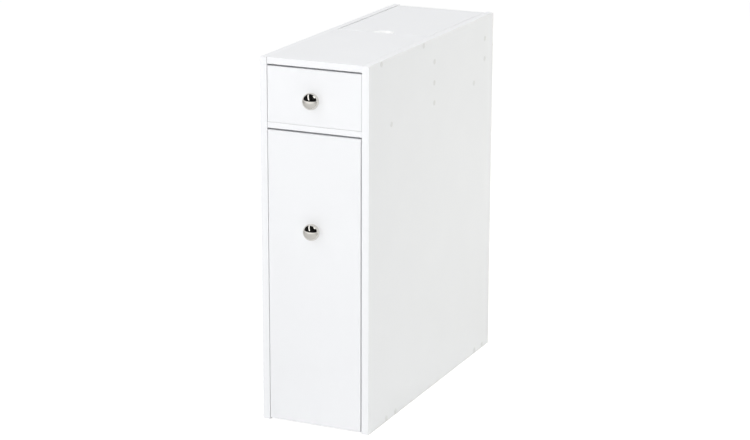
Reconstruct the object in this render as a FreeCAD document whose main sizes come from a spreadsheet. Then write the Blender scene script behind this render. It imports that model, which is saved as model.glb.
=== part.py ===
import FreeCAD, Part
import math
import os
import Sketcher
from types import SimpleNamespace

# Narrow bathroom cabinet: a tall slim carcass with a small drawer over a tall pull-out,
# and a flip lid over a covered box behind the drawer.
# X runs to the right, the front faces -Y, Z is up, and all lengths are millimetres.

SIZES = (
    ("cab_width", "182", "width over both side panels"),
    ("cab_depth", "495", "depth of the side panels"),
    ("cab_height", "580", "height of the side panels"),
    ("board", "12", "thickness of the carcass and front boards"),
    ("top_board", "10.5", "thickness of the fixed top and the lid"),
    ("thin_board", "9", "thickness of the middle shelf and the tier guards"),
    ("hardboard", "3", "thickness of the back and the drawer bottoms"),
    ("edge_round", "0.6", "radius on the visible board edges"),
    ("shelf_drop", "100.3", "top of the cabinet to the top face of the middle shelf"),
    ("top_depth", "248", "depth of the fixed front part of the top"),
    ("divider_lap", "1", "middle of the divider to the rear edge of the fixed top"),
    ("rear_panel_inset", "36", "rear edge to the middle of the rear panel of the lid box"),
    ("bottom_setback", "28", "front to the front edge of the bottom panel"),
    ("back_inset", "11", "rear edge to the back board"),
    ("groove", "4", "depth of the grooves for hardboard"),
    ("slack", "0.1", "play of a hardboard edge in its groove, each side"),
    ("lid_front_gap", "2", "gap in front of the lid"),
    ("lid_left_gap", "2.2", "gap at the left of the lid, wide enough to see"),
    ("lid_right_gap", "0.6", "gap at the right of the lid"),
    ("lid_rear_inset", "8", "rear edge of the cabinet to the rear edge of the lid"),
    ("lid_rear_clear", "1", "gap between the lid and the rear panel of its box"),
    ("notch_width", "28", "width of the round finger notch in the lid"),
    ("notch_bevel", "4.5", "bevel round the upper rim of the notch"),
    ("pivot_inset", "8", "rear edge of the lid to its pivot"),
    ("pivot_pin", "5", "diameter of the lid pivot pins"),
    ("pivot_in_lid", "14", "length of a pivot pin inside the lid"),
    ("pivot_in_side", "7", "length of a pivot pin inside the side panel"),
    ("bush_wall", "1", "wall of the pivot bush"),
    ("front_left_gap", "0.9", "gap at the left of both fronts"),
    ("upper_front_right_gap", "0.35", "gap at the right of the drawer front"),
    ("lower_front_right_gap", "1.6", "gap at the right of the pull-out front"),
    ("upper_front_top_gap", "2.8", "gap over the drawer front"),
    ("upper_front_low_gap", "0.3", "gap under the drawer front"),
    ("lower_front_top_gap", "3", "gap over the pull-out front"),
    ("lower_front_floor_gap", "3", "gap under the pull-out front"),
    ("runner_space", "12.5", "room for a runner between side panel and drawer"),
    ("drawer_board", "12", "thickness of the drawer sides and backs"),
    ("upper_side_height", "62", "height of the drawer sides"),
    ("upper_rear_clear", "14", "gap between the drawer and the divider"),
    ("lower_side_height", "90", "height of the pull-out sides"),
    ("lower_rear_clear", "31", "gap between the pull-out and the back board"),
    ("back_over_tier", "84", "height of the pull-out back over its tier"),
    ("bottom_rise", "8", "drawer side edge to the groove of the bottom"),
    ("tier_share", "0.507", "underside of the tier as a share of the height of the pull-out"),
    ("guard_height", "52", "height of the guards along the tier"),
    ("steel", "1.2", "thickness of the runner sheet steel"),
    ("runner_height", "20", "height of a cabinet runner"),
    ("runner_flange", "10.5", "reach of the lower flange of a cabinet runner"),
    ("runner_lip", "9", "reach of the upper lip of a cabinet runner"),
    ("slide_low", "1.5", "runner base to the underside of the drawer member"),
    ("slide_high", "17.5", "runner base to the top of the drawer member"),
    ("slide_reach", "3", "side panel to the free edge of the drawer member"),
    ("slide_foot", "9.5", "reach of the drawer member under the drawer side"),
    ("runner_start", "20", "front to the front end of a cabinet runner"),
    ("slide_start", "14", "front to the front end of a drawer member"),
    ("upper_runner_short", "15", "drawer side length over the drawer runner length"),
    ("lower_runner_short", "38", "pull-out side length over the pull-out runner length"),
    ("upper_runner_rise", "3", "middle shelf to the drawer runners"),
    ("lower_runner_rise", "6", "bottom panel to the pull-out runners"),
    ("roller", "14.6", "diameter of the runner rollers"),
    ("roller_rise", "8.75", "runner base to the roller axis"),
    ("roller_width", "7", "width of a roller"),
    ("roller_bevel", "0.8", "bevel on the roller edges"),
    ("front_roller_off", "2.2", "side panel to a front roller"),
    ("rear_roller_off", "3.4", "side panel to a rear roller"),
    ("front_roller_inset", "10", "front end of a cabinet runner to its roller"),
    ("rear_roller_inset", "9", "rear end of a drawer member to its roller"),
    ("roller_pin", "5", "diameter of the roller pins"),
    ("pin_head", "8", "diameter of a roller pin head and collar"),
    ("pin_head_thick", "0.8", "thickness of a roller pin head"),
    ("pin_play", "0.2", "end play of a roller on its pin"),
    ("fit", "0.05", "radial clearance of a pin or a screw in its hole"),
    ("overrun", "2", "run of a cut past the board"),
    ("screw_shank", "4", "diameter of the carcass screws"),
    ("screw_head", "7.4", "diameter of a carcass screw head"),
    ("screw_head_thick", "2.4", "thickness of a carcass screw head"),
    ("screw_sink", "0.8", "outer face to the carcass screw head"),
    ("screw_reach", "26", "carcass screw length past the outer board"),
    ("pilot_extra", "1", "free room past the tip of a screw"),
    ("cap", "8.6", "diameter of the screw caps"),
    ("cap_proud", "0.6", "height of a screw cap over the panel"),
    ("top_screw_inset", "44.5", "end of the fixed top to its screws"),
    ("shelf_screw_inset", "82", "each end of the shelf to its end screws"),
    ("wall_screw_pitch", "34", "spacing of the divider and rear panel screws"),
    ("bottom_front_screw_inset", "40", "front edge of the bottom panel to its first screw"),
    ("bottom_rear_screw_inset", "28.5", "rear edge of the bottom panel to its last screw"),
    ("bottom_screw_pitch", "34", "spacing of a pair of bottom screws"),
    ("small_shank", "3", "diameter of the runner screws"),
    ("small_head", "6", "diameter of a runner screw head"),
    ("small_head_thick", "0.8", "thickness of a runner screw head"),
    ("small_reach", "9", "runner screw length inside the wood"),
    ("runner_screw_inset", "32", "each end of a runner to its end screws"),
    ("cam", "12", "diameter of the cams"),
    ("cam_thick", "9", "thickness of the cams"),
    ("cam_inset", "24", "back of the front to the cam centre"),
    ("cam_slot", "5.4", "width of the bolt slot in a cam"),
    ("cam_cover", "2.5", "closed thickness of a cam"),
    ("bolt", "5", "diameter of the cam bolts"),
    ("bolt_in_front", "9", "length of a cam bolt inside the front"),
    ("dowel", "6", "diameter of the dowels"),
    ("dowel_in_front", "8", "length of a dowel inside the front"),
    ("dowel_in_side", "16", "length of a dowel inside the drawer side"),
    ("joint_inset", "18", "edge of a drawer side to its cam bolt or dowel"),
    ("tier_joint_inset", "30", "edge of the tier to its dowels and screws"),
    ("back_screw_inset", "12", "edges of a drawer back to its screws"),
    ("guard_screw_inset", "60", "end of a guard to its end screws"),
    ("knob_ball", "26.6", "diameter of the knob"),
    ("knob_half", "10.6", "tip of the knob to its widest part"),
    ("knob_rim", "8.7", "radius of the knob section at its widest part"),
    ("knob_reach", "22", "knob height over the front"),
    ("knob_collar", "15", "diameter of the knob collar"),
    ("knob_bore_depth", "12", "depth of the thread in the knob"),
    ("knob_screw", "4", "diameter of the knob screws"),
    ("knob_screw_head", "8", "diameter of a knob screw head"),
    ("knob_screw_head_thick", "2.6", "thickness of a knob screw head"),
    ("knob_screw_in_knob", "10", "length of a knob screw inside the knob"),
    ("upper_knob_drop", "45.8", "top of the drawer front to its knob"),
    ("lower_knob_drop", "150", "top of the pull-out front to its knob"),
)

doc = FreeCAD.newDocument("narrow_bathroom_cabinet")
sheet = doc.addObject("Spreadsheet::Sheet", "Sizes")
for row, (alias, text, note) in enumerate(SIZES, start=1):
    sheet.set(f"A{row}", note)
    sheet.set(f"B{row}", text)
    sheet.setAlias(f"B{row}", alias)
doc.recompute()


class Size:
    """A length held both as a number and as the sheet expression behind it."""

    def __init__(self, text, value):
        self.text = text
        self.value = value

    def __add__(self, other):
        return Size(f"({self.text} + {other.text})", self.value + other.value)

    def __sub__(self, other):
        return Size(f"({self.text} - {other.text})", self.value - other.value)

    def __mul__(self, factor):
        if isinstance(factor, Size):
            return Size(f"({self.text} * {factor.text})", self.value * factor.value)
        return Size(f"({self.text} * {factor})", self.value * factor)

    def __truediv__(self, factor):
        return Size(f"({self.text} / {factor})", self.value / factor)

    def __neg__(self):
        return Size(f"(0 - {self.text})", -self.value)


S = SimpleNamespace(**{alias: Size(f"Sizes.{alias}", sheet.get(alias)) for alias, text, note in SIZES})
ZERO = Size("0", 0)

# Places that several boards share.
front_y = (S.knob_reach - S.cab_depth) / 2
rear_y = front_y + S.cab_depth
left_out = -S.cab_width / 2
right_out = S.cab_width / 2
left_in = left_out + S.board
right_in = right_out - S.board
inner_width = S.cab_width - S.board * 2
top_under = S.cab_height - S.top_board
shelf_top = S.cab_height - S.shelf_drop
shelf_under = shelf_top - S.thin_board
wall_height = top_under - shelf_top
rear_wall_height = wall_height - S.lid_rear_clear
lid_front_y = front_y + S.top_depth + S.lid_front_gap
lid_rear_y = rear_y - S.lid_rear_inset
pivot_y = lid_rear_y - S.pivot_inset
pivot_z = top_under + S.top_board / 2
box_front_y = front_y + S.board
box_left = left_in + S.runner_space
box_right = right_in - S.runner_space

# The origin plane square to each axis, and the axes that its sketch runs along.
PLANES = {"x": "YZ_Plane", "y": "XZ_Plane", "z": "XY_Plane"}
ACROSS = {"x": "yz", "y": "xz", "z": "xy"}
corners = {}
bodies = {}


def sense(axis):
    """The way that the sketch normal of an origin plane points along its axis."""
    return -1 if axis == "y" else 1


def new_body(label, corner):
    """Start a piece whose own origin sits at one corner of the piece in the cabinet."""
    body = doc.addObject("PartDesign::Body", label)
    body.Label = label
    for name, distance in zip("xyz", corner):
        body.setExpression(f"Placement.Base.{name}", distance.text)
    corners[label] = dict(zip("xyz", corner))
    bodies[label] = body
    return body


def sketch_across(body, axis, level):
    """Open a sketch square to one axis, at a level of the cabinet along that axis."""
    sketch = body.newObject("Sketcher::SketchObject", f"{body.Label}_sketch")
    plane = next(f for f in body.Origin.OriginFeatures if f.Role == PLANES[axis])
    sketch.AttachmentSupport = (plane, [""])
    sketch.MapMode = "FlatFace"
    shift = (level - corners[body.Label][axis]) * sense(axis)
    sketch.setExpression("AttachmentOffset.Base.z", shift.text)
    return sketch


def in_sketch(body, axis, place):
    """Turn a place of the cabinet into the two distances of a sketch across an axis."""
    corner = corners[body.Label]
    return [distance - corner[name] for distance, name in zip(place, ACROSS[axis])]


def bind(sketch, rule, size):
    """Add one sketch rule whose value follows the sheet."""
    row = sketch.addConstraint(rule)
    sketch.setExpression(f"Constraints[{row}]", size.text)


def pin(sketch, geometry, point, place):
    """Hold one point of a sketch at two sheet distances from the sketch origin."""
    for kind, size in zip(("DistanceX", "DistanceY"), place):
        bind(sketch, Sketcher.Constraint(kind, -1, 1, geometry, point, size.value), size)


def draw_outline(sketch, points):
    """Draw a closed outline of straight lines through points held to the sheet."""
    spots = [FreeCAD.Vector(a.value, b.value, 0) for a, b in points]
    lines = []
    for here, there in zip(spots, spots[1:] + spots[:1]):
        lines.append(sketch.addGeometry(Part.LineSegment(here, there), False))
    for line, after in zip(lines, lines[1:] + lines[:1]):
        sketch.addConstraint(Sketcher.Constraint("Coincident", line, 2, after, 1))
    for line, point in zip(lines, points):
        pin(sketch, line, 1, point)


def draw_box(sketch, low, high):
    """Draw a rectangle between two corners."""
    draw_outline(sketch, [(low[0], low[1]), (high[0], low[1]), (high[0], high[1]), (low[0], high[1])])


def draw_circle(sketch, centre, diameter):
    """Draw a circle about a held centre."""
    spot = FreeCAD.Vector(centre[0].value, centre[1].value, 0)
    circle = Part.Circle(spot, FreeCAD.Vector(0, 0, 1), diameter.value / 2)
    geometry = sketch.addGeometry(circle, False)
    pin(sketch, geometry, 3, centre)
    bind(sketch, Sketcher.Constraint("Diameter", geometry, diameter.value), diameter)


def pad(body, sketch, axis, length, sign=1):
    """Raise a sketch along an axis, forwards or backwards."""
    feature = body.newObject("PartDesign::Pad", f"{body.Label}_pad")
    feature.Profile = sketch
    feature.setExpression("Length", length.text)
    feature.Reversed = sense(axis) != sign
    doc.recompute()


def cut(body, sketch, axis, depth, sign):
    """Sink a sketch into the piece along an axis and make sure that it cut something."""
    before = body.Shape.Volume
    feature = body.newObject("PartDesign::Pocket", f"{body.Label}_pocket")
    feature.Profile = sketch
    feature.setExpression("Length", depth.text)
    feature.Reversed = sense(axis) == sign
    doc.recompute()
    if body.Shape.Volume >= before:
        raise RuntimeError(f"a cut in {body.Label} missed the board")


def board(label, corner, size):
    """A plain board from its low corner in the cabinet and its three sizes."""
    body = new_body(label, corner)
    sketch = sketch_across(body, "z", corner[2])
    draw_box(sketch, (ZERO, ZERO), (size[0], size[1]))
    pad(body, sketch, "z", size[2])
    return body


def drill(body, axis, level, sign, places, diameter, depth):
    """Sink round holes along an axis, from a level, at a list of places."""
    sketch = sketch_across(body, axis, level)
    for place in places:
        draw_circle(sketch, in_sketch(body, axis, place), diameter)
    cut(body, sketch, axis, depth, sign)


def trench(body, axis, level, sign, low, high, depth):
    """Sink a rectangle along an axis, from a level, between two corners."""
    sketch = sketch_across(body, axis, level)
    draw_box(sketch, in_sketch(body, axis, low), in_sketch(body, axis, high))
    cut(body, sketch, axis, depth, sign)


def rods(body, axis, level, sign, places, steps):
    """Raise stepped round rods along an axis: each step is a start, a length and a diameter."""
    for start, length, diameter in steps:
        sketch = sketch_across(body, axis, level + start * sign)
        for place in places:
            draw_circle(sketch, in_sketch(body, axis, place), diameter)
        pad(body, sketch, axis, length, sign)


def soften(body, wanted):
    """Round the edges whose middle points satisfy a test, while the board is still plain."""
    base = body.Tip
    edges = base.Shape.Edges
    names = [f"Edge{i}" for i, edge in enumerate(edges, start=1) if wanted(edge.CenterOfMass)]
    feature = body.newObject("PartDesign::Fillet", f"{body.Label}_fillet")
    feature.Base = (base, names)
    feature.setExpression("Radius", S.edge_round.text)
    doc.recompute()


def at_front(middle):
    """True on the edges round the front face."""
    return middle.y < S.edge_round.value


def wide(diameter):
    """A hole that runs clear of a shaft all round."""
    return diameter + S.fit * 2


# The fixed boards of the carcass.
left_panel = board("left_side_panel", (left_out, front_y, ZERO), (S.board, S.cab_depth, S.cab_height))
right_panel = board("right_side_panel", (right_in, front_y, ZERO), (S.board, S.cab_depth, S.cab_height))
top = board("fixed_top_panel", (left_in, front_y, top_under), (inner_width, S.top_depth, S.top_board))
shelf = board("middle_shelf", (left_in, front_y, shelf_under), (inner_width, S.cab_depth, S.thin_board))
bottom_y = front_y + S.bottom_setback
bottom_length = S.cab_depth - S.bottom_setback
bottom = board("bottom_panel", (left_in, bottom_y, ZERO), (inner_width, bottom_length, S.board))
divider_mid = front_y + S.top_depth - S.divider_lap
divider_y = divider_mid - S.board / 2
divider = board("divider_panel", (left_in, divider_y, shelf_top), (inner_width, S.board, wall_height))
rear_wall_mid = rear_y - S.rear_panel_inset
rear_wall_y = rear_wall_mid - S.board / 2
rear_wall = board(
    "lid_box_rear_panel", (left_in, rear_wall_y, shelf_top), (inner_width, S.board, rear_wall_height)
)


def at_front_or_top(middle):
    """True on the front and top edges of a side panel."""
    return middle.y < S.edge_round.value or middle.z > S.cab_height.value - S.edge_round.value


def at_front_long(middle):
    """True on the two long front edges of a board that runs from side to side."""
    return at_front(middle) and abs(middle.x - inner_width.value / 2) < S.edge_round.value


for panel in (left_panel, right_panel):
    soften(panel, at_front_or_top)
for panel in (top, shelf):
    soften(panel, at_front_long)

# The back board slides in grooves of both side panels, the bottom panel and the shelf.
back_y = rear_y - S.back_inset - S.hardboard
groove_front = back_y - S.slack
groove_rear = back_y + S.hardboard + S.slack
back_reach = S.groove - S.slack
back = board(
    "back_board",
    (left_in - back_reach, back_y, S.board - back_reach),
    (inner_width + back_reach * 2, S.hardboard, shelf_under - S.board + back_reach * 2),
)
groove_low = (groove_front, S.board - S.groove)
groove_high = (groove_rear, shelf_under + S.groove)
trench(left_panel, "x", left_in, -1, groove_low, groove_high, S.groove)
trench(right_panel, "x", right_in, 1, groove_low, groove_high, S.groove)
groove_left = (left_in - S.overrun, groove_front)
groove_right = (right_in + S.overrun, groove_rear)
trench(bottom, "z", S.board, -1, groove_left, groove_right, S.groove)
trench(shelf, "z", shelf_under, 1, groove_left, groove_right, S.groove)

# Screws through the side panels into the ends of the boards, under white caps.
top_mid = top_under + S.top_board / 2
shelf_mid = shelf_under + S.thin_board / 2
wall_mid = shelf_top + wall_height / 2
far_bottom_y = rear_y - S.bottom_rear_screw_inset
near_bottom_y = bottom_y + S.bottom_front_screw_inset
wall_screw_heights = (wall_mid - S.wall_screw_pitch / 2, wall_mid + S.wall_screw_pitch / 2)
screw_places = {
    "fixed_top_panel": [
        (front_y + S.top_screw_inset, top_mid),
        (front_y + S.top_depth - S.top_screw_inset, top_mid),
    ],
    "middle_shelf": [
        (front_y + S.shelf_screw_inset, shelf_mid),
        (front_y + S.cab_depth / 2, shelf_mid),
        (rear_y - S.shelf_screw_inset, shelf_mid),
    ],
    "divider_panel": [(divider_mid, level) for level in wall_screw_heights],
    "lid_box_rear_panel": [(rear_wall_mid, level) for level in wall_screw_heights],
    "bottom_panel": [
        (near_bottom_y, S.board / 2),
        (near_bottom_y + S.bottom_screw_pitch, S.board / 2),
        (far_bottom_y - S.bottom_screw_pitch, S.board / 2),
        (far_bottom_y, S.board / 2),
    ],
}
all_screws = [place for places in screw_places.values() for place in places]
pilot_depth = S.screw_reach + S.pilot_extra
for label, places in screw_places.items():
    drill(bodies[label], "x", left_in, 1, places, wide(S.screw_shank), pilot_depth)
    drill(bodies[label], "x", right_in, -1, places, wide(S.screw_shank), pilot_depth)

head_seat = S.screw_sink + S.screw_head_thick
screw_steps = [
    (S.screw_sink, S.screw_head_thick, S.screw_head),
    (head_seat, S.board - head_seat + S.screw_reach, S.screw_shank),
]
cap_steps = [(-S.cap_proud, S.cap_proud, S.cap), (ZERO, S.screw_sink, S.screw_head)]
screws = new_body("carcass_screws", (left_out, front_y, ZERO))
caps = new_body("screw_caps", (left_out, front_y, ZERO))
for panel, outside, inward in ((left_panel, left_out, 1), (right_panel, right_out, -1)):
    drill(panel, "x", outside, inward, all_screws, wide(S.screw_shank), S.board + S.overrun)
    drill(panel, "x", outside, inward, all_screws, wide(S.screw_head), head_seat)
    rods(screws, "x", outside, inward, all_screws, screw_steps)
    rods(caps, "x", outside, inward, all_screws, cap_steps)

# The flip lid, its finger notch and the pins that it turns on.
lid_left = left_in + S.lid_left_gap
lid_right = right_in - S.lid_right_gap
lid = board(
    "lid_panel",
    (lid_left, lid_front_y, top_under),
    (lid_right - lid_left, lid_rear_y - lid_front_y, S.top_board),
)


def at_lid_top(middle):
    """True on the edges round the upper face of the lid."""
    return middle.z > S.top_board.value - S.edge_round.value


def bevel_notch(middle_x):
    """Sink a cone about the middle of the notch, which leaves a bevel round its upper rim."""
    before = lid.Shape.Volume
    sketch = sketch_across(lid, "y", lid_front_y)
    sketch.setExpression("AttachmentOffset.Base.x", (middle_x - lid_left).text)
    wall = S.notch_width / 2
    floor = S.top_board - S.notch_bevel
    over = S.top_board + S.overrun
    wide_end = wall + S.notch_bevel + S.overrun
    draw_outline(sketch, [(ZERO, floor), (wall, floor), (wide_end, over), (ZERO, over)])
    feature = lid.newObject("PartDesign::Groove", "lid_panel_notch_bevel")
    feature.Profile = sketch
    feature.ReferenceAxis = (sketch, ["V_Axis"])
    doc.recompute()
    if lid.Shape.Volume >= before:
        raise RuntimeError("the bevel of the notch missed the lid")


soften(lid, at_lid_top)
notch_x = (lid_left + lid_right) / 2
drill(lid, "z", S.cab_height, -1, [(notch_x, lid_front_y)], S.notch_width, S.top_board + S.overrun)
bevel_notch(notch_x)

pivot_place = [(pivot_y, pivot_z)]
bush_outside = S.pivot_pin + S.fit * 2 + S.bush_wall * 2
pivots = new_body("lid_pivot_pins", (left_out, front_y, ZERO))
bushes = new_body("lid_pivot_bushes", (left_out, front_y, ZERO))
pivot_ends = (
    (left_panel, left_in, lid_left, S.lid_left_gap, 1),
    (right_panel, right_in, lid_right, S.lid_right_gap, -1),
)
for panel, face, lid_end, gap, inward in pivot_ends:
    drill(lid, "x", lid_end, inward, pivot_place, wide(S.pivot_pin), S.pivot_in_lid + S.pilot_extra)
    drill(panel, "x", face, -inward, pivot_place, wide(bush_outside), S.pivot_in_side + S.pilot_extra)
    pivot_length = S.pivot_in_side + gap + S.pivot_in_lid
    rods(pivots, "x", face, inward, pivot_place, [(-S.pivot_in_side, pivot_length, S.pivot_pin)])
    rods(bushes, "x", face, inward, pivot_place, [(-S.pivot_in_side, S.pivot_in_side, bush_outside)])
    drill(bushes, "x", face, -inward, pivot_place, wide(S.pivot_pin), S.pivot_in_side + S.overrun)

# The two drawers: the small one over the shelf and the tall pull-out under it.
upper = SimpleNamespace(
    name="upper_drawer",
    set="upper",
    low=shelf_top + S.upper_front_low_gap,
    high=top_under - S.upper_front_top_gap,
    right_gap=S.upper_front_right_gap,
    base=shelf_top + S.upper_runner_rise,
    side_height=S.upper_side_height,
    side_length=divider_y - S.upper_rear_clear - box_front_y,
)
upper.runner = upper.side_length - S.upper_runner_short
upper.knob_z = upper.high - S.upper_knob_drop
upper.back_height = S.upper_side_height - S.bottom_rise - S.hardboard - S.slack
lower = SimpleNamespace(
    name="lower_pullout",
    set="lower",
    low=S.lower_front_floor_gap,
    high=shelf_under - S.lower_front_top_gap,
    right_gap=S.lower_front_right_gap,
    base=S.board + S.lower_runner_rise,
    side_height=S.lower_side_height,
    side_length=back_y - S.lower_rear_clear - box_front_y,
)
lower.runner = lower.side_length - S.lower_runner_short
lower.knob_z = lower.high - S.lower_knob_drop
tier_z = lower.high * S.tier_share
tier_top = tier_z + S.drawer_board
for unit in (upper, lower):
    unit.side_low = unit.base + S.slide_low + S.steel
    unit.box_rear = box_front_y + unit.side_length
    unit.back_y = unit.box_rear - S.drawer_board
    unit.bottom_z = unit.side_low + S.bottom_rise + S.slack
    unit.joint_high = unit.side_low + unit.side_height - S.joint_inset
    unit.joint_low = unit.side_low + S.bottom_rise + S.joint_inset
lower.back_height = tier_top + S.back_over_tier - lower.bottom_z - S.hardboard

box_in_left = box_left + S.drawer_board
box_in_right = box_right - S.drawer_board
box_in_width = box_in_right - box_in_left
front_left = left_in + S.front_left_gap
# Inner face, outer face and the way inwards, for the left and the right drawer side.
box_walls = ((box_in_left, box_left, 1), (box_in_right, box_right, -1))


def drawer_boards(unit):
    """The front, both sides and the back of one drawer."""
    sizes = (S.drawer_board, unit.side_length, unit.side_height)
    front_size = (right_in - unit.right_gap - front_left, S.board, unit.high - unit.low)
    unit.front = board(f"{unit.name}_front", (front_left, front_y, unit.low), front_size)
    soften(unit.front, at_front)
    unit.left = board(f"{unit.name}_left_side", (box_left, box_front_y, unit.side_low), sizes)
    unit.right = board(f"{unit.name}_right_side", (box_in_right, box_front_y, unit.side_low), sizes)
    back_corner = (box_in_left, unit.back_y, unit.bottom_z + S.hardboard)
    unit.back = board(f"{unit.name}_back", back_corner, (box_in_width, S.drawer_board, unit.back_height))


def drawer_bottom(unit):
    """The hardboard bottom and the grooves that hold it in the sides and the front."""
    reach = S.groove - S.slack
    corner = (box_in_left - reach, box_front_y - reach, unit.bottom_z)
    size = (box_in_width + reach * 2, unit.side_length + reach, S.hardboard)
    unit.bottom = board(f"{unit.name}_bottom", corner, size)
    low_z = unit.bottom_z - S.slack
    high_z = unit.bottom_z + S.hardboard + S.slack
    near = (box_front_y - S.overrun, low_z)
    far = (unit.box_rear + S.overrun, high_z)
    trench(unit.left, "x", box_in_left, -1, near, far, S.groove)
    trench(unit.right, "x", box_in_right, 1, near, far, S.groove)
    low = (box_in_left - S.groove, low_z)
    high = (box_in_right + S.groove, high_z)
    trench(unit.front, "y", box_front_y, -1, low, high, S.groove)


def drawer_cams(unit):
    """A cam and its bolt at the front end of each side."""
    cam_y = box_front_y + S.cam_inset
    places = [(cam_y, unit.joint_high)]
    cams = new_body(f"{unit.name}_cams", (box_left, front_y, unit.side_low))
    bolts = new_body(f"{unit.name}_cam_bolts", (box_left, front_y, unit.side_low))
    bolt_places = [(face - S.drawer_board / 2 * way, unit.joint_high) for face, outer, way in box_walls]
    bolt_length = S.bolt_in_front + S.cam_inset - S.pilot_extra
    rods(bolts, "y", box_front_y, 1, bolt_places, [(-S.bolt_in_front, bolt_length, S.bolt)])
    drill(unit.front, "y", box_front_y, -1, bolt_places, wide(S.bolt), S.bolt_in_front)
    slot_low = (cam_y - S.cam, unit.joint_high - S.cam_slot / 2)
    slot_high = (cam_y, unit.joint_high + S.cam_slot / 2)
    sides = ((unit.left, bolt_places[:1]), (unit.right, bolt_places[1:]))
    for (face, outer, way), (side, place) in zip(box_walls, sides):
        drill(side, "x", face, -way, places, wide(S.cam), S.cam_thick)
        drill(side, "y", box_front_y, 1, place, wide(S.bolt), S.cam_inset)
        rods(cams, "x", face, -way, places, [(ZERO, S.cam_thick, S.cam)])
        floor = face - S.cam_thick * way
        trench(cams, "x", floor, way, slot_low, slot_high, S.cam_thick - S.cam_cover)


def drawer_dowels(unit, extra):
    """Dowels between the front and the sides, with further places handed in."""
    places = [(face - S.drawer_board / 2 * way, unit.joint_low) for face, outer, way in box_walls]
    dowels = new_body(f"{unit.name}_dowels", (box_left, front_y, unit.side_low))
    length = S.dowel_in_front + S.dowel_in_side
    rods(dowels, "y", box_front_y, 1, places + extra, [(-S.dowel_in_front, length, S.dowel)])
    drill(unit.front, "y", box_front_y, -1, places + extra, wide(S.dowel), S.dowel_in_front)
    for side, place in zip((unit.left, unit.right), places):
        drill(side, "y", box_front_y, 1, [place], wide(S.dowel), S.dowel_in_side + S.pilot_extra)


def drawer_screws(unit):
    """Screws through the sides into the back."""
    places = [
        (unit.back_y + S.drawer_board / 2, unit.bottom_z + S.hardboard + S.back_screw_inset),
        (unit.back_y + S.drawer_board / 2, unit.side_low + unit.side_height - S.back_screw_inset),
    ]
    unit.screws = new_body(f"{unit.name}_screws", (box_left, front_y, unit.side_low))
    steps = [
        (ZERO, S.screw_head_thick, S.screw_head),
        (S.screw_head_thick, S.drawer_board - S.screw_head_thick + S.screw_reach, S.screw_shank),
    ]
    for side, (face, outer, way) in zip((unit.left, unit.right), box_walls):
        drill(side, "x", outer, way, places, wide(S.screw_shank), S.drawer_board + S.overrun)
        drill(side, "x", outer, way, places, wide(S.screw_head), S.screw_head_thick)
        drill(unit.back, "x", face, way, places, wide(S.screw_shank), pilot_depth)
        rods(unit.screws, "x", outer, way, places, steps)


for unit in (upper, lower):
    drawer_boards(unit)
    drawer_bottom(unit)
    drawer_cams(unit)
    drawer_screws(unit)
drawer_dowels(upper, [])

# The pull-out has a second tier half way up, with a guard along each side of it.
tier_mid = tier_z + S.drawer_board / 2
tier_dowel_x = (box_in_left + S.tier_joint_inset, box_in_right - S.tier_joint_inset)
tier_joints = [(across, tier_mid) for across in tier_dowel_x]
drawer_dowels(lower, tier_joints)
tier_length = lower.back_y - box_front_y
tier = board(
    "lower_pullout_tier", (box_in_left, box_front_y, tier_z), (box_in_width, tier_length, S.drawer_board)
)
guard_size = (S.thin_board, lower.side_length, S.guard_height)
left_guard = board(
    "lower_pullout_left_guard", (box_in_left - S.thin_board, box_front_y, tier_z), guard_size
)
right_guard = board("lower_pullout_right_guard", (box_in_right, box_front_y, tier_z), guard_size)
drill(tier, "y", box_front_y, 1, tier_joints, wide(S.dowel), S.dowel_in_side + S.pilot_extra)
guard_steps = [
    (ZERO, S.screw_head_thick, S.screw_head),
    (S.screw_head_thick, S.thin_board - S.screw_head_thick + S.screw_reach, S.screw_shank),
]
tier_screws = [
    (box_front_y + S.guard_screw_inset, tier_mid),
    (box_front_y + tier_length - S.guard_screw_inset, tier_mid),
]
back_screws = [(lower.back_y + S.drawer_board / 2, tier_mid)]
for guard, face, way in ((left_guard, box_in_left, 1), (right_guard, box_in_right, -1)):
    outer = face - S.thin_board * way
    every = tier_screws + back_screws
    drill(guard, "x", outer, way, every, wide(S.screw_shank), S.thin_board + S.overrun)
    drill(guard, "x", outer, way, every, wide(S.screw_head), S.screw_head_thick)
    drill(tier, "x", face, way, tier_screws, wide(S.screw_shank), pilot_depth)
    drill(lower.back, "x", face, way, back_screws, wide(S.screw_shank), pilot_depth)
    rods(lower.screws, "x", outer, way, every, guard_steps)


def runner_x(side, reach):
    """A distance from the inner face of a side panel as a place across the cabinet."""
    return left_in + reach if side == "left" else right_in - reach


def section(body, points, start, length):
    """Run a bent sheet section along the depth of the cabinet."""
    sketch = sketch_across(body, "y", start)
    draw_outline(sketch, [in_sketch(body, "y", point) for point in points])
    pad(body, sketch, "y", length)


def cabinet_runner(unit, side):
    """The channel on the side panel, closed by a stop at its rear end."""
    start = front_y + S.runner_start
    body = new_body(f"{unit.set}_runner_{side}", (left_in, start, unit.base))
    top_z = unit.base + S.runner_height
    low_z = unit.base + S.steel
    lip_z = top_z - S.steel
    outside = runner_x(side, ZERO)
    web = runner_x(side, S.steel)
    flange = runner_x(side, S.runner_flange)
    lip = runner_x(side, S.runner_lip)
    points = [(outside, unit.base), (flange, unit.base), (flange, low_z), (web, low_z)]
    points += [(web, lip_z), (lip, lip_z), (lip, top_z), (outside, top_z)]
    section(body, points, start, unit.runner)
    stop = [(outside, unit.base), (lip, unit.base), (lip, top_z), (outside, top_z)]
    section(body, stop, start + unit.runner - S.steel, S.steel)
    return body


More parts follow.
